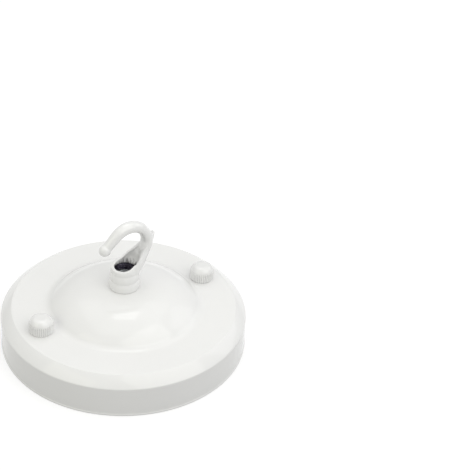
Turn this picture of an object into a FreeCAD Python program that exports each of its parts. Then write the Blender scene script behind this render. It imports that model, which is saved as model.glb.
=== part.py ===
import FreeCAD, Part
import math
import os
from FreeCAD import Vector

# Ceiling hook: a pressed round cover with a cast hook on its crown.
# Millimetres. The rim plane, which lies against the ceiling, is z = 0 and the hook points to +Z.
# The two thumb nuts lie on the X axis.

# Cover, one pressed sheet
cover_r = 54.0
sheet = 0.8
wall_h = 13.96
lip_out = 0.35
lip_h = 0.7
lip_round = 0.2
shoulder_in = 4.72
shoulder_h = 4.17
shoulder_bulge = 0.18
face_ring_w = 15.82
dome_h = 9.62
dome_power = 3.52
dome_stations = [0.95, 0.87, 0.76, 0.62, 0.45]
bend_r = 0.5
foot_bend_r = 2.6

# Hook, one casting
hook_turn = 4.2
collar_foot_r = 6.6
collar_ridge_r = [6.85, 6.35, 5.95]
collar_groove_r = [6.2, 5.85, 5.35]
collar_band_h = [4.2, 3.8, 3.4]
mouth_bore_r = 4.45
throat_r = 7.05
throat_x = 1.9
throat_above_seat = 20.0
bar_r = 2.48
bar_widening = 0.32
bar_fade = 0.6
bar_least_widening = 0.001
tip_turn = 42.0
tip_run = 7.7
tip_ball_r = 2.52
spine_start = (6.2, 6.4)
spine_foot = (8.5, 8.6)
spine_mid = (12.6, 14.6)
spine_tail = (15.2, 22.6)
spine_deep = [5.9, 5.7, 5.3, 3.9, 1.3]
spine_wide = [5.6, 4.75, 3.7, 2.8, 1.2]
spine_wall = [1.3, 2.4, 3.3, 2.7, 0.9]
channel_wide = [4.1, 3.7, 2.7, 1.8, 0.4]
mouth_front = (-4.7, 10.5)
mouth_mid = (6.4, 14.7)
mouth_back = (15.4, 23.9)
root_x = [9.0, 10.3, 11.25]
root_above_seat = [11.2, 14.0, 17.0]
root_r = [0.9, 1.8, 2.3]

# Hollow threaded nipple that clamps the hook to the cover
nipple_r = 4.95
nipple_bore_r = 3.5
nipple_in_hook = 5.5
nipple_below_nut = 1.6
nipple_nut_flats = 14.0
nipple_nut_h = 3.0
nipple_washer_r = 8.0
nipple_washer_h = 1.0
nipple_hole_gap = 0.2
nut_end_land = 0.05
nut_end_slope = 30.0

# Bracket strip that is screwed to the ceiling
bracket_w = 18.0
bracket_t = 1.5
bracket_rise = 3.6
bracket_ramp = 3.6
bracket_hole_land = 1.0
bracket_end_run = 6.7
slot_len = 12.0
slot_w = 5.2
slot_end_land = 0.6

# Studs, lock nuts and thumb nuts
stud_r = 2.0
stud_head_r = 4.0
stud_head_h = 2.4
stud_recess = 1.1
stud_above_face = 5.7
stud_hole_gap = 0.4
stud_head_side_gap = 1.1
lock_nut_flats = 7.0
lock_nut_h = 3.2
thumb_r = 5.4
thumb_h = 7.0
thumb_roof = 0.9
knurl_band_h = 4.6
knurl_count = 36
knurl_depth = 0.4
knurl_chamfer = 0.3
cap_step = 0.3
cap_round = 1.9
thumb_mouth_r = 3.5
thumb_mouth_depth = 1.0

# Clearances
thread_gap = 0.05
washer_edge_gap = 0.9
thumb_dome_gap = 1.44

# Values that follow
shoulder_r = cover_r - shoulder_in
dome_r = shoulder_r - face_ring_w
face_z = wall_h + shoulder_h
dome_top_z = face_z + dome_h
seat_flat_r = nipple_washer_r + washer_edge_gap
nipple_top_z = dome_top_z + nipple_in_hook
stud_x = dome_r + thumb_dome_gap + thumb_r
cap_r = thumb_r - cap_step
thumb_bore_depth = thumb_h - thumb_roof
bracket_half = stud_x + bracket_end_run
bracket_hole_r = bracket_w / 2 - bracket_hole_land
bracket_flat_half = stud_x - stud_head_r - stud_head_side_gap - bracket_ramp
slot_x = bracket_flat_half - slot_end_land - slot_len / 2
bracket_end_z = bracket_rise + bracket_t
origin = Vector(0, 0, 0)
up = Vector(0, 0, 1)
near = 0.01


def at(x, z):
    return Vector(x, 0, z)


def above_seat(point):
    return at(point[0], dome_top_z + point[1])


def line(a, b):
    return Part.makeLine(a, b)


def arc(a, b, c):
    return Part.Arc(a, b, c).toShape()


def revolved(edges):
    face = Part.Face(Part.Wire(edges))
    return Part.makeSolid(face.revolve(origin, up, 360))


def tube(outer_r, inner_r, height, base):
    solid = Part.makeCylinder(outer_r, height, base)
    return solid.cut(Part.makeCylinder(inner_r, height, base))


def hexagon_nut(flats, bore_r, height, base):
    corner_r = flats / math.sqrt(3)
    corners = [base + Vector(corner_r * math.cos(a), corner_r * math.sin(a), 0)
               for a in [math.radians(60 * k) for k in range(7)]]
    prism = Part.Face(Part.makePolygon(corners)).extrude(up * height)
    # Both ends are turned to a cone that touches the flats
    blank_r = flats / 2 + nut_end_land
    slope_h = (corner_r - blank_r) * math.tan(math.radians(nut_end_slope))
    blank = revolved([
        line(at(0, 0), at(blank_r, 0)),
        line(at(blank_r, 0), at(corner_r, slope_h)),
        line(at(corner_r, slope_h), at(corner_r, height - slope_h)),
        line(at(corner_r, height - slope_h), at(blank_r, height)),
        line(at(blank_r, height), at(0, height)),
        line(at(0, height), at(0, 0)),
    ])
    blank.translate(base)
    return prism.common(blank).cut(Part.makeCylinder(bore_r, height, base))


def crown_foot(depth):
    # Where the face and the crown, both set in by depth, meet
    bend = math.atan(dome_power * dome_h / dome_r)
    return at(dome_r - depth * math.tan(bend / 2), face_z - depth)


def dome_edge(depth):
    # The crown's curve set in by depth, from its foot to the flat that the hook stands on
    points = [crown_foot(depth)]
    for share in dome_stations:
        r = dome_r * share
        z = face_z + dome_h * (1 - share ** dome_power)
        slope = dome_power * dome_h / dome_r * share ** (dome_power - 1)
        normal = Vector(slope, 0, 1).normalize()
        points.append(at(r, z) - normal * depth)
    points.append(at(seat_flat_r, dome_top_z - depth))
    curve = Part.BSplineCurve()
    curve.interpolate(points)
    return curve.toShape()


def cover_half(depth):
    # Half section of the cover, set in by depth from its outer skin and closed along the axis
    chord = Vector(shoulder_r - cover_r, 0, face_z - wall_h)
    slope = Vector(chord.z, 0, -chord.x).normalize()
    wall_shift = (Vector(1, 0, 0) + slope) * (depth / (1 + slope.x))
    face_shift = (up + slope) * (depth / (1 + slope.z))
    wall_top = at(cover_r, wall_h) - wall_shift
    shoulder_top = at(shoulder_r, face_z) - face_shift
    shoulder_mid = (wall_top + shoulder_top) * 0.5 + slope * shoulder_bulge
    crown_z = dome_top_z - depth
    return [
        line(at(0, 0), at(cover_r - depth, 0)),
        line(at(cover_r - depth, 0), wall_top),
        arc(wall_top, shoulder_mid, shoulder_top),
        line(shoulder_top, crown_foot(depth)),
        dome_edge(depth),
        line(at(seat_flat_r, crown_z), at(0, crown_z)),
        line(at(0, crown_z), at(0, 0)),
    ]


def ring_edges(solid, r, z):
    # Full circles about the axis near radius r and height z
    found = []
    for edge in solid.Edges:
        if edge.Curve.TypeId == "Part::GeomCircle":
            centre = edge.Curve.Center
            on_axis = math.hypot(centre.x, centre.y) < near
            if on_axis and abs(edge.Curve.Radius - r) < near and abs(centre.z - z) < near:
                found.append(edge)
    return found


def make_cover():
    skin = revolved(cover_half(0))
    skin = skin.makeFillet(bend_r + sheet, ring_edges(skin, cover_r, wall_h))
    skin = skin.makeFillet(bend_r, ring_edges(skin, shoulder_r, face_z))
    skin = skin.makeFillet(foot_bend_r, ring_edges(skin, dome_r, face_z))
    cavity = revolved(cover_half(sheet))
    inner_foot = crown_foot(sheet)
    cavity = cavity.makeFillet(foot_bend_r + sheet, ring_edges(cavity, inner_foot.x, inner_foot.z))
    lip = tube(cover_r + lip_out, cover_r - sheet / 2, lip_h, origin)
    lip = lip.makeFillet(lip_round, ring_edges(lip, cover_r + lip_out, lip_h))
    shell = skin.fuse(lip).cut(cavity)
    shell = shell.cut(Part.makeCylinder(nipple_r + nipple_hole_gap, dome_top_z, origin))
    for side in (-1, 1):
        base = Vector(side * stud_x, 0, 0)
        shell = shell.cut(Part.makeCylinder(stud_r + stud_hole_gap, dome_top_z, base))
    return shell.removeSplitter()


def collar():
    # Three rounded bands, each an arc from groove to groove
    low = at(collar_foot_r, dome_top_z)
    edges = [line(at(0, dome_top_z), low)]
    for ridge_r, groove_r, band_h in zip(collar_ridge_r, collar_groove_r, collar_band_h):
        high = at(groove_r, low.z + band_h)
        edges.append(arc(low, at(ridge_r, low.z + band_h / 2), high))
        low = high
    return revolved(edges + [line(low, at(0, low.z)), line(at(0, low.z), at(0, dome_top_z))])


def oval(centre, inward, deep, wide):
    # Ellipse with its longer axis first, as the curve needs it
    in_plane, across = centre + inward * deep, centre + Vector(0, wide, 0)
    first, second = (in_plane, across) if deep > wide else (across, in_plane)
    return Part.Wire(Part.Ellipse(first, second, centre).toShape())


def spine():
    # The back wall of the collar runs on as a tapering trough: a bent oval horn, with a narrower one cut out
    outline = Part.Arc(above_seat(spine_foot), above_seat(spine_mid), above_seat(spine_tail))
    first, last = outline.FirstParameter, outline.LastParameter
    stations = [(above_seat(spine_start), Vector(-1, 0, 0))]
    steps = len(spine_deep) - 2
    for k in range(steps + 1):
        spot = first + (last - first) * k / steps
        tangent = outline.tangent(spot)[0]
        stations.append((outline.value(spot), Vector(-tangent.z, 0, tangent.x)))
    horn, channel = [], []
    for (point, inward), deep, wide, wall, inner_wide in zip(
            stations, spine_deep, spine_wide, spine_wall, channel_wide):
        centre = point + inward * deep
        horn.append(oval(centre, inward, deep, wide))
        channel.append(oval(centre + inward * (wall / 2), inward, deep - wall / 2, inner_wide))
    return Part.makeLoft(horn, True), Part.makeLoft(channel, True)


def mouth_cutter():
    # Everything in front of and above the slanting mouth of the collar and the trough
    front, middle, back = [above_seat(p) for p in (mouth_front, mouth_mid, mouth_back)]
    reach = 3 * throat_r
    edges = [
        line(at(front.x - reach, front.z), front),
        arc(front, middle, back),
        line(back, at(back.x + reach, back.z)),
        line(at(back.x + reach, back.z), at(back.x + reach, back.z + reach)),
        line(at(back.x + reach, back.z + reach), at(front.x - reach, back.z + reach)),
        line(at(front.x - reach, back.z + reach), at(front.x - reach, front.z)),
    ]
    face = Part.Face(Part.Wire(edges))
    face.translate(Vector(0, -reach, 0))
    return face.extrude(Vector(0, 2 * reach, 0))


def bar():
    # Bar from a thin root in the trough round the throat to a ball end: wide at the root, round at the tip
    centre = above_seat((throat_x, throat_above_seat))
    bend = throat_r + bar_r
    route = [above_seat(point) for point in zip(root_x, root_above_seat)]
    radii = list(root_r)
    steps = 8
    for k in range(steps + 1):
        turn = math.radians((90 + tip_turn) * k / steps)
        route.append(centre + Vector(math.cos(turn), 0, math.sin(turn)) * bend)
        radii.append(bar_r)
    heading = Vector(-math.sin(turn), 0, math.cos(turn))
    for _ in range(2):
        route.append(route[-1] + heading * (tip_run / 2))
        radii.append(bar_r)
    rings = []
    last = len(route) - 1
    for k, (spot, r) in enumerate(zip(route, radii)):
        along = (route[min(k + 1, last)] - route[max(k - 1, 0)]).normalize()
        wide = r * (1 + bar_least_widening + bar_widening * (1 - k / last) ** bar_fade)
        rings.append(oval(spot, Vector(-along.z, 0, along.x), r, wide))
    return Part.makeLoft(rings, True).fuse(Part.makeSphere(tip_ball_r, route[-1]))


def make_hook():
    outer, inner = spine()
    body = collar().fuse(outer).cut(inner).cut(mouth_cutter()).fuse(bar())
    body = body.cut(Part.makeCylinder(mouth_bore_r, sum(collar_band_h) + bar_r, at(0, dome_top_z)))
    body = body.cut(Part.makeCylinder(nipple_r + thread_gap, nipple_in_hook, at(0, dome_top_z)))
    body.rotate(origin, up, hook_turn)
    return body.removeSplitter()


def washer_z():
    return dome_top_z - sheet - nipple_washer_h


def nut_z():
    return washer_z() - nipple_nut_h


def make_nipple():
    low = nut_z() - nipple_below_nut
    return tube(nipple_r, nipple_bore_r, nipple_top_z - low, at(0, low))


def make_nipple_washer():
    return tube(nipple_washer_r, nipple_r + nipple_hole_gap, nipple_washer_h, at(0, washer_z()))


def make_nipple_nut():
    return hexagon_nut(nipple_nut_flats, nipple_r + thread_gap, nipple_nut_h, at(0, nut_z()))


def make_bracket():
    # Strip lying on the ceiling, its two ends raised clear of it for the stud heads
    flat, ramp, end = bracket_flat_half, bracket_flat_half + bracket_ramp, bracket_half
    under = [(-end, bracket_rise), (-ramp, bracket_rise), (-flat, 0),
             (flat, 0), (ramp, bracket_rise), (end, bracket_rise)]
    over = [(x, z + bracket_t) for x, z in reversed(under)]
    points = [Vector(x, -bracket_w / 2, z) for x, z in under + over]
    strip = Part.Face(Part.makePolygon(points + points[:1])).extrude(Vector(0, bracket_w, 0))
    corners = [e for e in strip.Edges
               if abs(abs(e.CenterOfMass.x) - end) < near and abs(abs(e.CenterOfMass.y) - bracket_w / 2) < near]
    strip = strip.makeFillet(bracket_w / 4, corners)
    strip = strip.cut(Part.makeCylinder(bracket_hole_r, bracket_t, origin))
    for side in (-1, 1):
        strip = strip.cut(slot(side * slot_x))
        stud_hole = Vector(side * stud_x, 0, bracket_rise)
        strip = strip.cut(Part.makeCylinder(stud_r + thread_gap, bracket_t, stud_hole))
    return strip


def slot(x):
    half = (slot_len - slot_w) / 2
    shape = Part.makeBox(2 * half, slot_w, bracket_t, Vector(x - half, -slot_w / 2, 0))
    for end in (-half, half):
        shape = shape.fuse(Part.makeCylinder(slot_w / 2, bracket_t, Vector(x + end, 0, 0)))
    return shape


def make_stud(side):
    # Pan head screw that stands in the raised end of the bracket, head towards the ceiling
    x = side * stud_x
    head_z = bracket_rise - stud_head_h
    head = Part.makeCylinder(stud_head_r, stud_head_h, Vector(x, 0, head_z))
    head = head.makeFillet(stud_head_h / 2, [e for e in head.Edges if abs(e.CenterOfMass.z - head_z) < near])
    shank = Part.makeCylinder(stud_r, face_z + stud_above_face - bracket_rise, Vector(x, 0, bracket_rise))
    stud = head.fuse(shank.makeChamfer(stud_r / 4, [max(shank.Edges, key=lambda e: e.CenterOfMass.z)]))
    for turn in (0, 90):
        blade = Part.makeBox(2 * stud_r, stud_recess / 2, stud_recess, Vector(-stud_r, -stud_recess / 4, 0))
        blade.rotate(origin, up, turn)
        blade.translate(Vector(x, 0, head_z))
        stud = stud.cut(blade)
    return stud


def make_lock_nut(side):
    base = Vector(side * stud_x, 0, bracket_end_z)
    return hexagon_nut(lock_nut_flats, stud_r + thread_gap, lock_nut_h, base)


def make_thumb_nut(side):
    # Knurled foot, plain domed cap, blind bore with a wider mouth over the cover
    points = []
    for k in range(2 * knurl_count + 1):
        angle = math.pi * k / knurl_count
        r = thumb_r - (knurl_depth if k % 2 else 0)
        points.append(Vector(r * math.cos(angle), r * math.sin(angle), 0))
    teeth = Part.Face(Part.makePolygon(points)).extrude(up * knurl_band_h)
    inner_r = thumb_r - knurl_depth - knurl_chamfer / 2
    blank = revolved([
        line(at(0, 0), at(inner_r, 0)),
        line(at(inner_r, 0), at(thumb_r, knurl_chamfer)),
        line(at(thumb_r, knurl_chamfer), at(thumb_r, knurl_band_h - knurl_chamfer)),
        line(at(thumb_r, knurl_band_h - knurl_chamfer), at(inner_r, knurl_band_h)),
        line(at(inner_r, knurl_band_h), at(0, knurl_band_h)),
        line(at(0, knurl_band_h), at(0, 0)),
    ])
    cap = Part.makeCylinder(cap_r, thumb_h - knurl_band_h / 2, at(0, knurl_band_h / 2))
    cap = cap.makeFillet(cap_round, [max(cap.Edges, key=lambda e: e.CenterOfMass.z)])
    nut = teeth.common(blank).fuse(cap)
    nut = nut.cut(Part.makeCylinder(stud_r + thread_gap, thumb_bore_depth, origin))
    nut = nut.cut(Part.makeCylinder(thumb_mouth_r, thumb_mouth_depth, origin))
    nut.translate(Vector(side * stud_x, 0, face_z))
    return nut.removeSplitter()


def write(node, shape):
    solids = shape.Solids
    assert len(solids) == 1 and solids[0].isValid(), (node, len(solids), shape.isValid())
    solids[0].exportStep(os.path.join("parts", node + ".step"))
    box = solids[0].BoundBox
    print(node, round(solids[0].Volume, 1), "mm3", "z", round(box.ZMin, 2), round(box.ZMax, 2))


os.makedirs("parts", exist_ok=True)
write("cover", make_cover())
write("hook", make_hook())
write("hollow_nipple", make_nipple())
write("nipple_washer", make_nipple_washer())
write("nipple_nut", make_nipple_nut())
write("ceiling_bracket", make_bracket())
for label, hand in (("left", -1), ("right", 1)):
    write("stud_screw_" + label, make_stud(hand))
    write("stud_lock_nut_" + label, make_lock_nut(hand))
    write("thumb_nut_" + label, make_thumb_nut(hand))
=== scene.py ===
import math

import bmesh
import bpy
from mathutils import Matrix, Vector


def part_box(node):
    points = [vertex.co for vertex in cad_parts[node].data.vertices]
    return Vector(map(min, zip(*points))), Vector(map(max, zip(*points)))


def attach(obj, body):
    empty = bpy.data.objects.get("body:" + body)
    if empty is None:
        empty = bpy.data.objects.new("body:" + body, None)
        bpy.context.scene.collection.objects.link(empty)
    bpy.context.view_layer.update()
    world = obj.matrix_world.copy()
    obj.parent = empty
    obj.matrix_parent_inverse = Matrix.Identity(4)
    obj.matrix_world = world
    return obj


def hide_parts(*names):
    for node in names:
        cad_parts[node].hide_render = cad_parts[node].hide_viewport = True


# Ceiling hook: pressed cover, cast hook, thumb nuts on threaded studs, hidden bracket.
# Metres. The rim stands at z = 0, the hook points up and the thumb nuts lie on the X axis.

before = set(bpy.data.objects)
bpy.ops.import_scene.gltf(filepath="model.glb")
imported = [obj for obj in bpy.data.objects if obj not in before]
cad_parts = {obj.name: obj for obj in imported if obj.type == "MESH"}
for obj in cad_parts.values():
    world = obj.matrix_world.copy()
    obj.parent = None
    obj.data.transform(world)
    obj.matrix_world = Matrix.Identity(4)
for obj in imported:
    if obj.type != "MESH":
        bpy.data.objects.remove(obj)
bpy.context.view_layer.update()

mm = 0.001
body_of_rose = "rose"

# Cover
cover_r = 54.0 * mm
lip_out = 0.2 * mm
lip_h = 0.7 * mm
sheet = 0.8 * mm
wall_h = 13.96 * mm
shoulder_r = 49.28 * mm
shoulder_bulge = 0.18 * mm
shoulder_bend = 0.9 * mm
bend_loss = 0.6
face_bend_share = 0.6
face_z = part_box("thumb_nut_left")[0].z
dome_r = 33.46 * mm
dome_power = 3.52
dome_start = 0.94
dome_run = 0.735
foot_bend = 5.5 * mm
foot_inset = 0.335 * mm
seat_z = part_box("hook")[0].z
nipple_hole_r = 5.15 * mm
stud_hole_r = 2.4 * mm

# Hook
hook_turn = math.radians(4.2)
collar_foot_r = 6.6 * mm
collar_ridge_r = [6.85 * mm, 6.35 * mm, 5.95 * mm]
collar_groove_r = [6.2 * mm, 5.85 * mm, 5.35 * mm]
collar_band_h = [4.2 * mm, 3.8 * mm, 3.4 * mm]
bore_r = 4.45 * mm
bore_pitch = 1.0 * mm
throat_r = 7.05 * mm
throat_x = 1.9 * mm
throat_above_seat = 20.0 * mm
bar_r = 2.46 * mm
tip_turn = math.radians(42.0)
tip_run = 7.5 * mm
thin_r = 2.35 * mm
neck_r = 2.1 * mm
tip_ball_r = 2.6 * mm

# Studs
stud_x = (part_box("thumb_nut_right")[0].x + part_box("thumb_nut_right")[1].x) / 2
stud_r = 2.0 * mm
stud_pitch = 0.7 * mm
head_h = 2.4 * mm
head_top_r = 3.9 * mm
head_foot_r = 3.95 * mm
tip_bevel = 0.4 * mm
recess_long = 2.2 * mm
recess_wide = 0.4 * mm
recess_depth = 1.1 * mm
recess_turn = 20

# Thumb nuts
thumb_r = 5.35 * mm
thumb_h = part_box("thumb_nut_left")[1].z - face_z
knurl_band_h = 4.6 * mm
knurl_count = 36
knurl_depth = 0.5 * mm
cap_r = 5.05 * mm
cap_dome_h = 2.0 * mm
cap_dome_power = 5
cap_roof = 0.9 * mm
nut_mouth_r = 3.5 * mm
nut_mouth_h = 1.0 * mm


# Outlines

def rounded(corners, steps=6, guard=0.12 * mm):
    """Closed outline of (r, z, fillet) corners, with guard points beside each fillet."""
    made = []
    count = len(corners)
    for k, (r, z, radius) in enumerate(corners):
        here = Vector((r, z))
        before = Vector(corners[k - 1][:2])
        after = Vector(corners[(k + 1) % count][:2])
        if radius <= 0:
            made.append(here)
            continue
        a, b = (before - here).normalized(), (after - here).normalized()
        half = a.angle(b) / 2
        reach = radius / math.tan(half)
        centre = here + (a + b).normalized() * (radius / math.sin(half))
        start, end = here + a * reach, here + b * reach
        if (before - here).length > reach + 2 * guard:
            made.append(start + a * guard)
        spin = (start - centre).angle_signed(end - centre)
        for n in range(steps + 1):
            made.append(centre + Matrix.Rotation(-spin * n / steps, 2) @ (start - centre))
        if (after - here).length > reach + 2 * guard:
            made.append(end + b * guard)
    return made


def lathe(name, outline, segments):
    """Solid of revolution about Z from a closed outline. Points on the axis become poles."""
    on_axis = 1e-7
    turns = [2 * math.pi * n / segments for n in range(segments)]
    mesh = bmesh.new()
    rings = []
    for point in outline:
        r, z = point[0], point[1]
        if r < on_axis:
            rings.append([mesh.verts.new((0, 0, z))])
            continue
        rings.append([mesh.verts.new((r * math.cos(a), r * math.sin(a), z)) for a in turns])
    for low, high in zip(rings, rings[1:] + rings[:1]):
        for n in range(segments):
            m = (n + 1) % segments
            corners = [low[n % len(low)], low[m % len(low)], high[m % len(high)], high[n % len(high)]]
            distinct = list(dict.fromkeys(corners))
            if len(distinct) > 2:
                mesh.faces.new(distinct)
    return finished(name, mesh)


def finished(name, mesh):
    """A smooth object from the built mesh, which is used up."""
    bmesh.ops.recalc_face_normals(mesh, faces=mesh.faces)
    data = bpy.data.meshes.new(name)
    mesh.to_mesh(data)
    mesh.free()
    data.shade_smooth()
    piece = bpy.data.objects.new(name, data)
    bpy.context.scene.collection.objects.link(piece)
    return piece


def apply_modifiers(piece):
    """Bakes the modifiers into a plain mesh and removes them."""
    view = bpy.context.evaluated_depsgraph_get()
    data = bpy.data.meshes.new_from_object(piece.evaluated_get(view))
    piece.modifiers.clear()
    old = piece.data
    piece.data = data
    data.name = piece.name
    bpy.data.meshes.remove(old)
    return piece


def combine(piece, other, operation):
    """Joins or cuts piece with other, which is used up."""
    change = piece.modifiers.new("combine", "BOOLEAN")
    change.operation = operation
    change.solver = "EXACT"
    change.object = other
    apply_modifiers(piece)
    bpy.data.objects.remove(other)
    return piece


def sharpen(piece, degrees):
    """Smooth shading that breaks at edges steeper than the angle."""
    piece.data.shade_smooth()
    piece.data.set_sharp_from_angle(angle=math.radians(degrees))


# Materials

class Shader:
    """A material's node tree, with short names for the nodes that every finish here uses."""

    def __init__(self, name):
        self.material = bpy.data.materials.new(name)
        self.material.use_nodes = True
        self.tree = self.material.node_tree
        self.surface = self.tree.nodes["Principled BSDF"]
        coordinates = self.tree.nodes.new("ShaderNodeTexCoord").outputs
        self.place, self.facing = coordinates["Object"], coordinates["Normal"]

    def link(self, output, socket):
        self.tree.links.new(output, socket)

    def stretched(self, scale):
        node = self.tree.nodes.new("ShaderNodeMapping")
        node.inputs["Scale"].default_value = scale
        self.link(self.place, node.inputs["Vector"])
        return node.outputs["Vector"]

    def noise(self, size, detail=3.0, place=None):
        """Noise whose patches are about size metres across, from 0 to 1."""
        node = self.tree.nodes.new("ShaderNodeTexNoise")
        node.inputs["Scale"].default_value = 1 / size
        node.inputs["Detail"].default_value = detail
        self.link(place or self.place, node.inputs["Vector"])
        return node.outputs["Fac"]

    def between(self, value, low, high, low_in=0.35, high_in=0.65):
        node = self.tree.nodes.new("ShaderNodeMapRange")
        node.inputs["From Min"].default_value = low_in
        node.inputs["From Max"].default_value = high_in
        node.inputs["To Min"].default_value = low
        node.inputs["To Max"].default_value = high
        self.link(value, node.inputs["Value"])
        return node.outputs["Result"]

    def math(self, operation, first, second):
        node = self.tree.nodes.new("ShaderNodeMath")
        node.operation = operation
        for socket, value in zip(node.inputs, (first, second)):
            if isinstance(value, (int, float)):
                socket.default_value = value
            else:
                self.link(value, socket)
        return node.outputs["Value"]

    def vector(self, operation, first, second=None):
        node = self.tree.nodes.new("ShaderNodeVectorMath")
        node.operation = operation
        self.link(first, node.inputs[0])
        if isinstance(second, tuple):
            node.inputs[1].default_value = second
        elif second:
            self.link(second, node.inputs[1])
        return node.outputs["Value" if operation in ("LENGTH", "DOT_PRODUCT") else "Vector"]

    def mix(self, share, first, second):
        node = self.tree.nodes.new("ShaderNodeMix")
        node.data_type = "RGBA"
        self.link(share, node.inputs["Factor"])
        for socket, value in ((node.inputs["A"], first), (node.inputs["B"], second)):
            if isinstance(value, tuple):
                socket.default_value = (*value, 1)
            else:
                self.link(value, socket)
        return node.outputs["Result"]

    def bump(self, height, depth, below=None):
        node = self.tree.nodes.new("ShaderNodeBump")
        node.inputs["Strength"].default_value = 1.0
        node.inputs["Distance"].default_value = depth
        self.link(height, node.inputs["Height"])
        if below:
            self.link(below, node.inputs["Normal"])
        return node.outputs["Normal"]


def gloss_paint(name, white, waves, lacquer):
    """White gloss paint: a levelled film with slight waves, faint tone and gloss changes."""
    paint = Shader(name)
    tone = paint.between(paint.noise(24 * mm), 0.0, 1.0)
    yellow = 0.992
    dull, clear = ((share * white, share * white, share * white * yellow) for share in (0.993, 1.007))
    paint.link(paint.mix(tone, dull, clear), paint.surface.inputs["Base Color"])
    paint.link(paint.between(paint.noise(9 * mm), 0.07, 0.1), paint.surface.inputs["Roughness"])
    peel = paint.bump(paint.noise(0.9 * mm, 1.0), 0.0015 * mm)
    paint.link(paint.bump(paint.noise(7 * mm, 2.0), waves, peel), paint.surface.inputs["Normal"])
    paint.surface.inputs["IOR"].default_value = 1.5
    paint.surface.inputs["Coat Weight"].default_value = lacquer
    paint.surface.inputs["Coat Roughness"].default_value = 0.03
    return paint


def cast_paint():
    """The same paint over a casting, with a near-black patch down the tapped bore and the foot of the
    trough: unpainted metal where the thread was cut, darkened and faded upward with ragged streaks as
    painted shade of the deep hollow.
    """
    paint = gloss_paint("painted_casting", white=0.888, waves=0.05 * mm, lacquer=0.7)
    flat = paint.vector("MULTIPLY", paint.place, (1, 1, 0))
    outward = paint.vector("NORMALIZE", flat)
    facing = paint.vector("DOT_PRODUCT", paint.facing, outward)
    away = paint.vector("LENGTH", flat)
    split = paint.tree.nodes.new("ShaderNodeSeparateXYZ")
    paint.link(paint.place, split.inputs["Vector"])
    # Painted shade: below these heights the inner faces near the bore go near black, standing for the
    # unpainted thread metal and the shade deep in the bore and trough together.
    ragged_by = 1.1 * mm
    bare_and_shade_full_to, bare_and_shade_gone_from = seat_z + 7.6 * mm, seat_z + 10.5 * mm
    streaks = paint.noise(0.7 * mm, 3.0, paint.stretched((1, 1, 0.12)))
    ragged = paint.between(streaks, -ragged_by, ragged_by)
    height = paint.math("ADD", split.outputs["Z"], ragged)
    deep = paint.between(height, 1.0, 0.0, bare_and_shade_full_to, bare_and_shade_gone_from)
    inner = paint.between(facing, 1.0, 0.0, -0.7, -0.5)
    inside = paint.between(away, 1.0, 0.0, bore_r + 2.0 * mm, bore_r + 3.5 * mm)
    bare_and_shade = paint.math("MULTIPLY", paint.math("MULTIPLY", deep, inside), inner)
    white = paint.surface.inputs["Base Color"].links[0].from_socket
    # Near-black colour under the mask: unpainted metal in part, painted shade of the deep hollow in the
    # rest.
    paint.link(paint.mix(bare_and_shade, white, (0.045, 0.04, 0.05)), paint.surface.inputs["Base Color"])
    return paint.material


def zinc_plate(name, dull):
    """Zinc over rolled or cut steel: cool grey with soft clouds and fine marks."""
    zinc = Shader(name)
    zinc.surface.inputs["Metallic"].default_value = 1.0
    clouds = zinc.between(zinc.noise(5 * mm, 4.0), 0.0, 1.0)
    zinc.link(zinc.mix(clouds, (0.56, 0.58, 0.6), (0.7, 0.71, 0.72)), zinc.surface.inputs["Base Color"])
    marks = zinc.noise(0.5 * mm, 2.0, zinc.stretched((0.04, 1, 1)))
    zinc.link(zinc.between(marks, dull, dull + 0.14), zinc.surface.inputs["Roughness"])
    zinc.link(zinc.bump(marks, 0.006 * mm), zinc.surface.inputs["Normal"])
    return zinc.material


def rolled_brass():
    """Yellow brass finish with a slightly dull, uneven sheen from the rolled thread."""
    brass = Shader("rolled_brass")
    brass.surface.inputs["Metallic"].default_value = 1.0
    dull = brass.between(brass.noise(1.5 * mm, 4.0), 0.0, 1.0)
    brass.link(brass.mix(dull, (0.78, 0.55, 0.2), (0.9, 0.68, 0.32)), brass.surface.inputs["Base Color"])
    brass.link(brass.between(brass.noise(0.6 * mm), 0.2, 0.36), brass.surface.inputs["Roughness"])
    brass.link(brass.bump(brass.noise(0.25 * mm), 0.004 * mm), brass.surface.inputs["Normal"])
    return brass.material


def shaded_bare_thread():
    """Unpainted metal of a tapped thread, with its colour set near black as painted shade for the deep bore,
    and a patchy random tone.
    """
    bare_and_shade = Shader("shaded_bare_tapped_metal")
    bare_and_shade.surface.inputs["Metallic"].default_value = 1.0
    stain = bare_and_shade.between(bare_and_shade.noise(0.8 * mm, 4.0), 0.0, 1.0)
    # Both tones are near black: painted shade of the deep bore over a random patchy tone.
    bare_and_shade.link(bare_and_shade.mix(stain, (0.014, 0.012, 0.02), (0.065, 0.06, 0.08)), bare_and_shade.surface.inputs["Base Color"])
    bare_and_shade.link(bare_and_shade.between(bare_and_shade.noise(0.4 * mm), 0.25, 0.5), bare_and_shade.surface.inputs["Roughness"])
    bare_and_shade.link(bare_and_shade.bump(bare_and_shade.noise(0.3 * mm), 0.008 * mm), bare_and_shade.surface.inputs["Normal"])
    return bare_and_shade.material


# Geometry node trees

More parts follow.
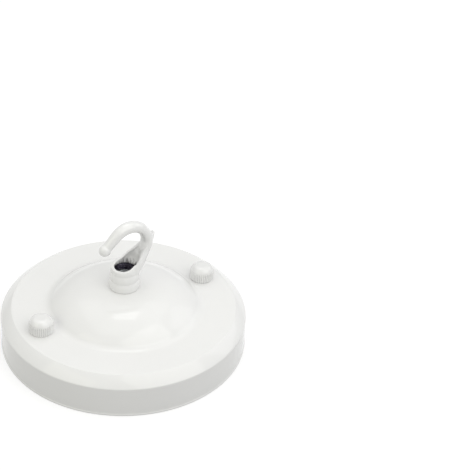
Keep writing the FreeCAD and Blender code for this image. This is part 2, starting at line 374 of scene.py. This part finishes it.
class Rule:
    """A geometry node tree with named sizes, ending in Realize Instances and Set Material."""

    def __init__(self, name, sizes):
        self.tree = bpy.data.node_groups.new(name, "GeometryNodeTree")
        face = self.tree.interface
        face.new_socket("Geometry", in_out="INPUT", socket_type="NodeSocketGeometry")
        face.new_socket("Geometry", in_out="OUTPUT", socket_type="NodeSocketGeometry")
        for label in sizes:
            face.new_socket(label, in_out="INPUT", socket_type="NodeSocketFloat")
        face.new_socket("Finish", in_out="INPUT", socket_type="NodeSocketMaterial")
        self.inputs = self.tree.nodes.new("NodeGroupInput").outputs

    def link(self, output, socket):
        self.tree.links.new(output, socket)

    def math(self, operation, *values):
        node = self.tree.nodes.new("ShaderNodeMath")
        node.operation = operation
        for socket, value in zip(node.inputs, values):
            if isinstance(value, (int, float)):
                socket.default_value = value
            else:
                self.link(value, socket)
        return node.outputs["Value"]

    def polar(self):
        """Angle about Z in turns, distance from Z, height, and the direction away from Z."""
        position = self.tree.nodes.new("GeometryNodeInputPosition").outputs["Position"]
        split = self.tree.nodes.new("ShaderNodeSeparateXYZ")
        self.link(position, split.inputs["Vector"])
        x, y, z = (split.outputs[c] for c in "XYZ")
        turns = self.math("DIVIDE", self.math("ARCTAN2", y, x), 2 * math.pi)
        reach = self.math("SQRT", self.math("ADD", self.math("MULTIPLY", x, x), self.math("MULTIPLY", y, y)))
        return turns, reach, z, (x, y)

    def within(self, value, low, high, fade):
        """1 where value is between low and high, fading to 0 over fade at each end."""
        rise = self.math("DIVIDE", self.math("SUBTRACT", value, low), fade)
        fall = self.math("DIVIDE", self.math("SUBTRACT", high, value), fade)
        return self.math("MAXIMUM", self.math("MINIMUM", self.math("MINIMUM", rise, fall), 1.0), 0.0)

    def push_out(self, amount, reach, sides):
        """Moves each point away from Z by amount."""
        share = self.math("DIVIDE", amount, self.math("MAXIMUM", reach, 1e-6))
        offset = self.tree.nodes.new("ShaderNodeCombineXYZ")
        for socket, side in zip(offset.inputs, sides):
            self.link(self.math("MULTIPLY", side, share), socket)
        move = self.tree.nodes.new("GeometryNodeSetPosition")
        self.link(self.inputs["Geometry"], move.inputs["Geometry"])
        self.link(offset.outputs["Vector"], move.inputs["Offset"])
        return move.outputs["Geometry"]

    def end(self, geometry):
        real = self.tree.nodes.new("GeometryNodeRealizeInstances")
        self.link(geometry, real.inputs["Geometry"])
        finish = self.tree.nodes.new("GeometryNodeSetMaterial")
        self.link(real.outputs["Geometry"], finish.inputs["Geometry"])
        self.link(self.inputs["Finish"], finish.inputs["Material"])
        out = self.tree.nodes.new("NodeGroupOutput")
        self.link(finish.outputs["Geometry"], out.inputs["Geometry"])
        return self.tree


def knurl_rule():
    """Straight knurls round a band: V-shaped ribs that fade at both ends of the band."""
    rule = Rule("straight_knurls", ["Ribs", "Depth", "Band Low", "Band High", "Fade", "Band Radius"])
    turns, reach, z, sides = rule.polar()
    wave = rule.math("PINGPONG", rule.math("MULTIPLY", turns, rule.inputs["Ribs"]), 0.5)
    valley = rule.math("MULTIPLY", rule.math("POWER", rule.math("MULTIPLY", wave, 2.0), 1.6), -1.0)
    band = rule.within(z, rule.inputs["Band Low"], rule.inputs["Band High"], rule.inputs["Fade"])
    skin = rule.math("GREATER_THAN", reach, rule.inputs["Band Radius"])
    depth = rule.math("MULTIPLY", rule.math("MULTIPLY", band, skin), rule.inputs["Depth"])
    return rule.end(rule.push_out(rule.math("MULTIPLY", valley, depth), reach, sides))


def thread_rule():
    """A screw thread round a rod or in a bore: the wall goes in and out once a pitch as it winds up."""
    rule = Rule("screw_thread", ["Pitch", "Depth", "Thread Low", "Thread High", "Fade", "Wall Radius"])
    turns, reach, z, sides = rule.polar()
    wound = rule.math("SUBTRACT", rule.math("DIVIDE", z, rule.inputs["Pitch"]), turns)
    wave = rule.math("MULTIPLY", rule.math("PINGPONG", wound, 0.5), 2.0)
    length = rule.within(z, rule.inputs["Thread Low"], rule.inputs["Thread High"], rule.inputs["Fade"])
    off_wall = rule.math("ABSOLUTE", rule.math("SUBTRACT", reach, rule.inputs["Wall Radius"]))
    wall = rule.math("LESS_THAN", off_wall, 0.05 * mm)
    depth = rule.math("MULTIPLY", rule.math("MULTIPLY", length, wall), rule.inputs["Depth"])
    return rule.end(rule.push_out(rule.math("MULTIPLY", wave, depth), reach, sides))


def shape_by(rule, piece, finish, **sizes):
    """Runs a rule on the piece and keeps the result as its plain mesh."""
    change = piece.modifiers.new(rule.name, "NODES")
    change.node_group = rule
    for item in rule.interface.items_tree:
        if item.in_out == "INPUT" and item.name in sizes:
            change[item.identifier] = float(sizes[item.name])
        if item.in_out == "INPUT" and item.name == "Finish":
            change[item.identifier] = finish
    return apply_modifiers(piece)


# Cover

def dome_height(share):
    """Height of the crown at a share of its foot's radius."""
    return face_z + (seat_z - face_z) * (1 - share ** dome_power)


def dome_points(depth, steps):
    """The crown's curve set in by depth, from near its foot to the flat under the hook.
    It starts at dome_start and runs in by dome_run, both shares of the foot's radius."""
    points = []
    for n in range(steps + 1):
        share = dome_start - dome_run * n / steps
        slope = dome_power * (seat_z - face_z) / dome_r * share ** (dome_power - 1)
        normal = Vector((slope, 1)).normalized()
        at = Vector((dome_r * share, dome_height(share))) - normal * depth
        points.append((at.x, at.y, 0))
    return points


def shoulder_points(depth, steps):
    """The slanting shoulder between wall and face, slightly bowed out, set in by depth.
    Its ends are rounded, and tighter on the inner side of the sheet."""
    wall_top = Vector((cover_r, wall_h))
    inner_end = Vector((shoulder_r, face_z))
    run = inner_end - wall_top
    out = Vector((run.y, -run.x)).normalized()
    wall_top -= Vector((1, math.tan(out.angle(Vector((1, 0))) / 2))) * depth
    inner_end -= Vector((math.tan(out.angle(Vector((0, 1))) / 2), 1)) * depth
    points = []
    for n in range(steps + 1):
        share = n / steps
        at = wall_top.lerp(inner_end, share) + out * shoulder_bulge * 4 * share * (1 - share)
        points.append((at.x, at.y, 0))
    bend = shoulder_bend - depth * bend_loss
    points[0] = (*points[0][:2], bend)
    points[-1] = (*points[-1][:2], bend * face_bend_share)
    return points


def make_cover(finish):
    """Pressed sheet with a rolled lip, a slanting shoulder, a flat face and a low crown."""
    drill_h = 30 * mm
    outer = [
        (cover_r - sheet, 0, 0.1 * mm),
        (cover_r + lip_out, 0, 0.12 * mm),
        (cover_r + lip_out, lip_h, 0.12 * mm),
        (cover_r, lip_h + lip_out, 0.3 * mm),
        *shoulder_points(0, steps=6),
        (dome_r, face_z, foot_bend),
        *dome_points(0, steps=28),
        (nipple_hole_r, seat_z, 0),
    ]
    inner = [
        (nipple_hole_r, seat_z - sheet, 0),
        *reversed(dome_points(sheet, steps=28)),
        (dome_r - foot_inset, face_z - sheet, foot_bend),
        *reversed(shoulder_points(sheet, steps=6)),
    ]
    cover = lathe("cover_shell", rounded(outer + inner), segments=200)
    for side in (-1, 1):
        hole = [(0, 0), (stud_hole_r, 0), (stud_hole_r, drill_h), (0, drill_h)]
        drill = lathe("drill", hole, segments=48)
        drill.data.transform(Matrix.Translation((side * stud_x, 0, 0)))
        combine(cover, drill, "DIFFERENCE")
    sharpen(cover, degrees=35)
    cover.data.materials.append(finish)
    return cover


# Hook

def collar_outline():
    """Outline of the collar: rounded bands with grooves between them."""
    steps = 12
    roundness = 0.75
    points = [Vector((0, seat_z)), Vector((collar_foot_r, seat_z))]
    z = seat_z
    low_r = collar_foot_r
    for ridge_r, groove_r, band_h in zip(collar_ridge_r, collar_groove_r, collar_band_h):
        for n in range(1, steps + 1):
            share = n / steps
            swell = (4 * share * (1 - share)) ** roundness
            line_r = low_r + (groove_r - low_r) * share
            points.append(Vector((line_r + (ridge_r - (low_r + groove_r) / 2) * swell, z + band_h * share)))
        z += band_h
        low_r = groove_r
    points.append(Vector((0, z)))
    return points


def loft(name, rings):
    """Closed skin over a row of rings with equal counts of points, with flat ends."""
    mesh = bmesh.new()
    rows = [[mesh.verts.new(p) for p in ring] for ring in rings]
    count = len(rows[0])
    for low, high in zip(rows, rows[1:]):
        for n in range(count):
            m = (n + 1) % count
            mesh.faces.new((low[n], low[m], high[m], high[n]))
    mesh.faces.new(reversed(rows[0]))
    mesh.faces.new(rows[-1])
    return finished(name, mesh)


def smooth_row(rows, steps):
    """Catmull-Rom points through a row of equal-length number lists."""
    made = []
    last = len(rows) - 1
    for k in range(last):
        a, b, c, d = (rows[max(0, min(last, k + n))] for n in (-1, 0, 1, 2))
        for s in range(steps):
            t = s / steps
            made.append([0.5 * (2 * q + (r - p) * t + (2 * p - 5 * q + 4 * r - v) * t * t
                                + (3 * q - p - 3 * r + v) * t ** 3) for p, q, r, v in zip(a, b, c, d)])
    made.append(list(rows[-1]))
    return made


# Back of the hook in millimetres and degrees: outline point (x, height above the seat), lean of
# the section, half depth, half width, wall at the back, half width of the channel
spine_rows = [
    [6.2, 6.4, 0.0, 5.9, 5.8, 1.3, 4.7],
    [8.5, 8.6, 40.0, 5.7, 5.3, 2.5, 4.3],
    [10.8, 11.6, 38.0, 5.4, 4.1, 3.9, 2.8],
    [12.6, 14.6, 30.0, 4.8, 3.2, 3.8, 1.9],
    [14.1, 18.5, 22.0, 3.4, 2.6, 2.7, 1.1],
    [15.0, 21.8, 13.0, 1.7, 1.7, 1.2, 0.6],
    [15.3, 23.2, 12.0, 0.9, 1.1, 0.7, 0.3],
]


def horn(name, inset):
    """The tapered back as a run of ovals, or with inset the channel that hollows it."""
    sides = 48
    rings = []
    for x, z, lean, deep, wide, wall, channel in smooth_row(spine_rows, steps=8):
        half_deep, half_wide = (deep - wall, channel) if inset else (deep, wide)
        lean = math.radians(lean)
        inward = Vector((-math.cos(lean), 0, math.sin(lean)))
        centre = Vector((x, 0, z)) + inward * deep
        ring = []
        for n in range(sides):
            a = 2 * math.pi * n / sides
            along = inward * (math.cos(a) * half_deep)
            across = Vector((0, math.sin(a) * half_wide, 0))
            ring.append((centre + along + across) * mm + Vector((0, 0, seat_z)))
        rings.append(ring)
    return loft(name, rings)


# Edge of the open mouth and trough seen from the side, in millimetres: x and height above the seat
mouth_rows = [[-4.7, 10.4], [-1.5, 10.8], [3.0, 12.5], [7.5, 16.4], [11.5, 20.3], [15.4, 23.9]]


def mouth_cutter():
    """Block over the edge line of the mouth, wide enough to open the whole front."""
    reach = 20.0
    line = [Vector(row) for row in smooth_row(mouth_rows, steps=6)]
    front, back = line[0], line[-1]
    line = [Vector((front.x - reach, front.y))] + line + [Vector((back.x + reach, back.y))]
    line += [Vector((back.x + reach, back.y + reach)), Vector((front.x - reach, back.y + reach))]
    rings = [[Vector((p.x, side, p.y)) * mm + Vector((0, 0, seat_z)) for p in line]
             for side in (-reach, reach)]
    return loft("mouth_cutter", rings)


# Root of the bar in the trough, in millimetres: x, height above the seat and radius
root_rows = [[8.8, 10.8, 0.9], [9.1, 12.3, 1.35], [9.4, 13.8, 1.8], [10.0, 15.7, 2.2], [10.8, 17.7, 2.38]]


def bar_rings():
    """Rings of the bent bar from its thin root in the trough, round the throat, to the rounded tip.
    The bar is wider than deep where it leaves the trough and round at its tip."""
    arc_steps, neck_steps, ball_steps, sides = 40, 6, 16, 40
    ball_end = math.radians(88)
    widening, widening_power, first_rings, wide_rings = 0.34, 0.6, 4, 52
    centre = Vector((throat_x, 0, seat_z + throat_above_seat))
    bend = throat_r + bar_r
    route = [(Vector((x * mm, 0, seat_z + z * mm)), r * mm) for x, z, r in root_rows]
    for n in range(arc_steps + 1):
        a = (math.pi / 2 + tip_turn) * n / arc_steps
        thinning = (bar_r - thin_r) * max(0.0, a - math.pi / 2) / tip_turn
        route.append((centre + Vector((math.cos(a), 0, math.sin(a))) * bend, bar_r - thinning))
    heading = Vector((-math.cos(tip_turn), 0, -math.sin(tip_turn)))
    end = route[-1][0]
    tip = end + heading * tip_run
    neck = math.acos(neck_r / tip_ball_r)
    neck_at = tip - heading * tip_ball_r * math.sin(neck)
    for n in range(1, neck_steps + 1):
        route.append((end.lerp(neck_at, n / neck_steps), thin_r + (neck_r - thin_r) * n / neck_steps))
    for n in range(1, ball_steps + 1):
        a = (ball_end + neck) * n / ball_steps - neck
        route.append((tip + heading * tip_ball_r * math.sin(a), tip_ball_r * math.cos(a)))
    rings = []
    for k, (at, r) in enumerate(route):
        along = (route[min(k + 1, len(route) - 1)][0] - route[max(k - 1, 0)][0]).normalized()
        side = Vector((0, 1, 0))
        out = side.cross(along)
        wider = 1 + widening * max(0.0, 1 - k / wide_rings) ** widening_power * min(1, k / first_rings)
        rings.append([at + (out * math.cos(a) + side * math.sin(a) * wider) * r
                      for a in (2 * math.pi * n / sides for n in range(sides))])
    return rings


def make_hook(finish):
    """The casting: collar, hollowed back, bent bar and bore, joined with soft inner corners."""
    foot_r = bore_r + 0.45 * mm
    low, step_low, step_high, high = (seat_z + h * mm for h in (-1, 8.6, 9.1, 16))
    hook = lathe("hook_casting", collar_outline(), segments=96)
    combine(hook, horn("horn", inset=False), "UNION")
    combine(hook, horn("hollow", inset=True), "DIFFERENCE")
    combine(hook, mouth_cutter(), "DIFFERENCE")
    combine(hook, loft("bar", bar_rings()), "UNION")
    bore = [(0, low), (foot_r, low), (foot_r, step_low), (bore_r, step_high), (bore_r, high), (0, high)]
    combine(hook, lathe("bore", bore, segments=64), "DIFFERENCE")
    skin = hook.modifiers.new("skin", "REMESH")
    skin.mode = "VOXEL"
    skin.voxel_size = 0.2 * mm
    skin.use_smooth_shade = True
    soft = hook.modifiers.new("soft", "SMOOTH")
    soft.factor = 0.5
    soft.iterations = 8
    apply_modifiers(hook)
    hook.data.transform(Matrix.Rotation(hook_turn, 4, "Z"))
    hook.data.shade_smooth()
    hook.data.materials.clear()
    hook.data.materials.append(finish)
    return hook


def make_bore_thread(thread, finish):
    """Tapped wall inside the collar, a thin sleeve with an M10 fine thread."""
    middle_r = bore_r + 0.4 * mm
    wall_r = middle_r - 0.1 * mm
    skin_r = middle_r + 0.2 * mm
    high = seat_z + 8.8 * mm
    low = seat_z + 5.0 * mm
    rows = 72
    wall = [(wall_r, low + (high - low) * n / rows) for n in range(rows + 1)]
    sleeve = lathe("collar_thread", wall + [(skin_r, high), (skin_r, low)], segments=96)
    return shape_by(thread, sleeve, finish, Pitch=bore_pitch, Depth=-0.5 * mm, **{
        "Thread Low": low, "Thread High": high, "Fade": 0.3 * mm, "Wall Radius": wall_r})


# Studs, thumb nuts and hidden hardware

def make_thumb_nut(side, knurls, finish):
    """Nut with a knurled band, a closed domed cap and an open mouth below."""
    bore = stud_r + 0.05 * mm
    corners = [
        (bore, nut_mouth_h, 0.1 * mm),
        (nut_mouth_r, nut_mouth_h, 0),
        (nut_mouth_r, 0, 0.25 * mm),
        (thumb_r - 0.45 * mm, 0, 0.1 * mm),
        (thumb_r, 0.45 * mm, 0.2 * mm),
    ]
    corners += [(thumb_r, (0.8 + 0.2 * n) * mm, 0) for n in range(17)]
    corners += [
        (thumb_r, knurl_band_h - 0.25 * mm, 0.2 * mm),
        (cap_r, knurl_band_h, 0.2 * mm),
        (cap_r, thumb_h - cap_dome_h, 0.3 * mm),
    ]
    shares = [1 - n / 24 for n in range(1, 25)]
    corners += [(cap_r * share, thumb_h - cap_dome_h * share ** cap_dome_power, 0) for share in shares]
    corners += [
        (0, thumb_h - cap_roof, 0),
        (bore, thumb_h - cap_roof, 0),
    ]
    name = "thumb_nut_" + ("left" if side < 0 else "right") + "_skin"
    nut = lathe(name, rounded(corners, steps=7), segments=knurl_count * 8)
    shape_by(knurls, nut, finish, Ribs=knurl_count, Depth=knurl_depth, Fade=0.35 * mm, **{
        "Band Low": 0.1 * mm, "Band High": knurl_band_h + 0.05 * mm, "Band Radius": thumb_r - 0.6 * mm})
    nut.data.transform(Matrix.Translation((side * stud_x, 0, face_z)))
    sharpen(nut, degrees=40)
    return nut


def make_stud(side, thread, finish):
    """Pan head screw standing in the bracket, threaded from the bracket to its end."""
    low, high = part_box("stud_screw_left" if side < 0 else "stud_screw_right")
    length = high.z - low.z
    row_h = 0.0875 * mm
    rows = int((length - head_h) / row_h)
    corners = [(0, 0, 0), (head_top_r, 0, 1.2 * mm), (head_foot_r, head_h, 0.15 * mm), (stud_r, head_h, 0)]
    shank = [Vector((stud_r, head_h + (length - head_h - tip_bevel) * (n + 1) / rows)) for n in range(rows)]
    outline = rounded(corners) + shank + [Vector((stud_r - tip_bevel, length)), Vector((0, length))]
    name = "threaded_stud_" + ("left" if side < 0 else "right")
    stud = lathe(name, outline, segments=48)
    shape_by(thread, stud, finish, Pitch=stud_pitch, Depth=-0.38 * mm, Fade=0.5 * mm, **{
        "Thread Low": head_h + 0.6 * mm, "Thread High": length + 0.2 * mm, "Wall Radius": stud_r})
    blade = [(x * recess_long, y * recess_wide) for x, y in ((-1, -1), (1, -1), (1, 1), (-1, 1))]
    for turn in (0, 90):
        cutter = loft("cross_recess", [[Vector((x, y, z)) for x, y in blade] for z in (-mm, recess_depth)])
        cutter.data.transform(Matrix.Rotation(math.radians(turn + recess_turn), 4, "Z"))
        combine(stud, cutter, "DIFFERENCE")
    stud.data.transform(Matrix.Translation((side * stud_x, 0, low.z)))
    sharpen(stud, degrees=35)
    return stud


def make_softened(node, finish, edge):
    """The solid's own shape with its sharp edges broken, for a hidden plated part."""
    mesh = bmesh.new()
    mesh.from_mesh(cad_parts[node].data)
    bmesh.ops.remove_doubles(mesh, verts=mesh.verts, dist=0.001 * mm)
    bmesh.ops.dissolve_limit(mesh, angle_limit=math.radians(1), verts=mesh.verts, edges=mesh.edges)
    data = bpy.data.meshes.new(node + "_plated")
    mesh.to_mesh(data)
    mesh.free()
    piece = bpy.data.objects.new(node + "_plated", data)
    bpy.context.scene.collection.objects.link(piece)
    bevel = piece.modifiers.new("edge", "BEVEL")
    bevel.width = edge
    bevel.segments = 2
    bevel.limit_method = "ANGLE"
    bevel.angle_limit = math.radians(40)
    apply_modifiers(piece)
    sharpen(piece, degrees=40)
    piece.data.materials.clear()
    piece.data.materials.append(finish)
    return piece


# Camera, floor and light

def make_camera():
    """View from the front, 29 degrees round the cover's axis and 37 degrees up, slightly rolled."""
    distance, up, round_by = 598.6 * mm, math.radians(37.45), math.radians(-29.3)
    rolled_by = math.radians(3.547)
    focal_length, image_width, sensor_width = 1338.2, 470, 36.0
    turn = Matrix.Rotation(round_by, 3, "Z")
    place = turn @ Vector((0, -math.cos(up) * distance, math.sin(up) * distance + 10 * mm))
    target = turn @ Vector((47.19 * mm, 0, 54.67 * mm))
    lens = bpy.data.cameras.new("camera")
    lens.sensor_width = sensor_width
    lens.lens = sensor_width * focal_length / image_width
    camera = bpy.data.objects.new("camera", lens)
    bpy.context.scene.collection.objects.link(camera)
    look = (target - place).to_track_quat("-Z", "Y").to_matrix()
    roll = Matrix.Rotation(rolled_by, 3, "Z")
    camera.matrix_world = Matrix.Translation(place) @ (look @ roll).to_4x4()
    bpy.context.scene.camera = camera


def make_floor():
    """Plain pale floor that reads as white studio paper, with the object's soft shadow on it."""
    half, drop, glow = 6.0, 0.0001, 0.66
    data = bpy.data.meshes.new("floor")
    corners = [(x * half, y * half, -drop) for x, y in ((-1, -1), (1, -1), (1, 1), (-1, 1))]
    data.from_pydata(corners, [], [(0, 1, 2, 3)])
    floor = bpy.data.objects.new("floor", data)
    bpy.context.scene.collection.objects.link(floor)
    pale = Shader("pale_floor")
    matt = pale.surface.inputs
    matt["Base Color"].default_value = (0.4, 0.4, 0.4, 1)
    matt["Roughness"].default_value = 0.9
    matt["Specular IOR Level"].default_value = 0.0
    # Straight looks and mirrored ones get an added glow, so that lit paper comes out white
    path = pale.tree.nodes.new("ShaderNodeLightPath").outputs
    mirrored = pale.math("MAXIMUM", path["Is Glossy Ray"], path["Is Transmission Ray"])
    seen = pale.math("MAXIMUM", path["Is Camera Ray"], mirrored)
    matt["Emission Color"].default_value = (1, 1, 1, 1)
    pale.link(pale.math("MULTIPLY", seen, glow), matt["Emission Strength"])
    data.materials.append(pale.material)


def make_light():
    """White surroundings that light the object gently, and five soft boxes round it."""
    world = bpy.data.worlds.new("studio")
    bpy.context.scene.world = world
    world.use_nodes = True
    tree = world.node_tree
    shade = tree.nodes["Background"]
    seen = tree.nodes.new("ShaderNodeBackground")
    for background, strength in ((shade, 0.6), (seen, 1.0)):
        background.inputs["Strength"].default_value = strength
        background.inputs["Color"].default_value = (1, 1, 1, 1)
    path = tree.nodes.new("ShaderNodeLightPath")
    mix = tree.nodes.new("ShaderNodeMixShader")
    tree.links.new(path.outputs["Is Camera Ray"], mix.inputs["Fac"])
    tree.links.new(shade.outputs["Background"], mix.inputs[1])
    tree.links.new(seen.outputs["Background"], mix.inputs[2])
    tree.links.new(mix.outputs["Shader"], tree.nodes["World Output"].inputs["Surface"])
    plain, warm, warmer, cool = (1, 1, 1), (1, 1, 0.96), (1, 1, 0.78), (0.97, 0.98, 1)
    softbox("key", (0.19, 0.32, 1.0), size=0.28, watts=0.42, tint=plain)
    softbox("overhead", (0.12, 0.22, 1.06), size=1.2, watts=2.1, tint=plain)
    softbox("front", (0.25, -0.75, 0.9), size=1.1, watts=4.25, tint=warm)
    softbox("right", (0.95, -0.1, 0.6), size=0.6, watts=0.76, tint=cool)
    softbox("left", (-0.85, -0.1, 0.6), size=0.7, watts=1.2, tint=warmer)


def softbox(name, place, size, watts, tint):
    """Square lamp turned to the middle of the object."""
    aim = Vector((0, 0, 0.02))
    lamp = bpy.data.lights.new(name, "AREA")
    lamp.size = size
    lamp.energy = watts
    lamp.color = tint
    light = bpy.data.objects.new(name, lamp)
    bpy.context.scene.collection.objects.link(light)
    light.location = place
    light.rotation_euler = (aim - Vector(place)).to_track_quat("-Z", "Y").to_euler()


def dress(piece, body, slot, *nodes):
    """Ties the piece to its body, in place of the solids of the named nodes. Its slot argument is not used.
    """
    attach(piece, body)
    if nodes:
        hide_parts(*nodes)


sheet_paint = gloss_paint("painted_sheet", white=0.872, waves=0.012 * mm, lacquer=0.0).material
nut_paint = gloss_paint("painted_nut", white=0.855, waves=0.03 * mm, lacquer=1.0).material
casting = cast_paint()
zinc = zinc_plate("zinc_plated_steel", dull=0.28)
cut_zinc = zinc_plate("zinc_plated_cut_tube", dull=0.8)
brass = rolled_brass()
bare_and_shade = shaded_bare_thread()
knurls = knurl_rule()
thread = thread_rule()

dress(make_cover(sheet_paint), body_of_rose, "white_gloss_paint", "cover")
dress(make_hook(casting), body_of_rose, "white_gloss_paint", "hook")
# The thread sleeve takes the near-black finish that paints the shade deep in the bore.
dress(make_bore_thread(thread, bare_and_shade), body_of_rose, "zinc_plate")
for side, label in ((-1, "left"), (1, "right")):
    thumb_nut = "thumb_nut_" + label
    lock_nut = "stud_lock_nut_" + label
    dress(make_thumb_nut(side, knurls, nut_paint), thumb_nut, "white_gloss_paint", thumb_nut)
    dress(make_stud(side, thread, brass), body_of_rose, "brass", "stud_screw_" + label)
    dress(make_softened(lock_nut, zinc, edge=0.15 * mm), body_of_rose, "zinc_plate", lock_nut)
for node in ("ceiling_bracket", "nipple_washer", "nipple_nut"):
    dress(make_softened(node, zinc, edge=0.2 * mm), body_of_rose, "zinc_plate", node)
dress(make_softened("hollow_nipple", cut_zinc, edge=0.2 * mm), body_of_rose, "zinc_plate", "hollow_nipple")

make_camera()
make_floor()
make_light()
bpy.context.scene.view_settings.view_transform = "Standard"
